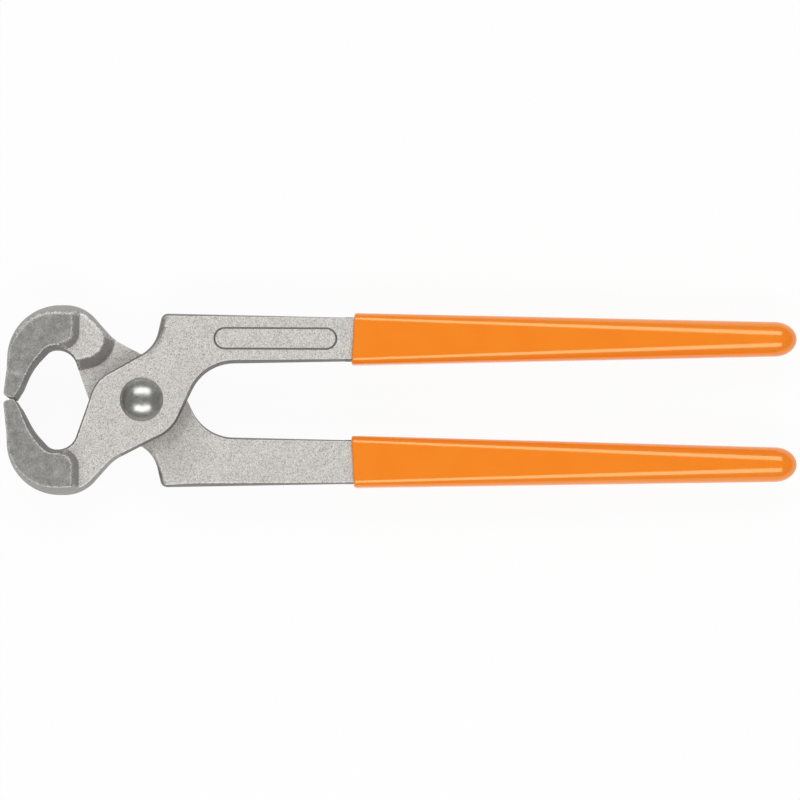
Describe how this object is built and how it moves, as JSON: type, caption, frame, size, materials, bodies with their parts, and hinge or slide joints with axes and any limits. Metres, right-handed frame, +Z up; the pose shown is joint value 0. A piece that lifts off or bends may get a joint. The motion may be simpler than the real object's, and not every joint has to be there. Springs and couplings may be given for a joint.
{
  "type": "end cutting nippers",
  "caption": "Carpenter's pincers: two forged steel halves lapped on a domed rivet, wide end cutting jaws and long dipped plastic grips.",
  "frame": {"origin": "below the middle of the tool's outer box, on the plane that the jaw sides rest on", "axes": "+X from the jaws to the grip ends, +Y towards the upper handle, +Z up along the rivet"},
  "size_m": [0.2498, 0.06, 0.024],
  "materials": {
    "forged_steel": "sandblasted",
    "rivet_steel": "polished",
    "pvc": "glossy dipped"
  },
  "bodies": {
    "lower_half": {"lower_handle_half": "forged_steel", "lower_grip": "pvc", "pivot_rivet": "rivet_steel"},
    "upper_half": {"upper_handle_half": "forged_steel", "upper_grip": "pvc"}
  },
  "joints": [
    {"name": "pivot", "type": "hinge", "parent": "lower_half", "child": "upper_half", "pos_m": [-0.0818, 0, 0.012], "axis": [0, 0, 1], "range_deg": [0, 32]}
  ]
}
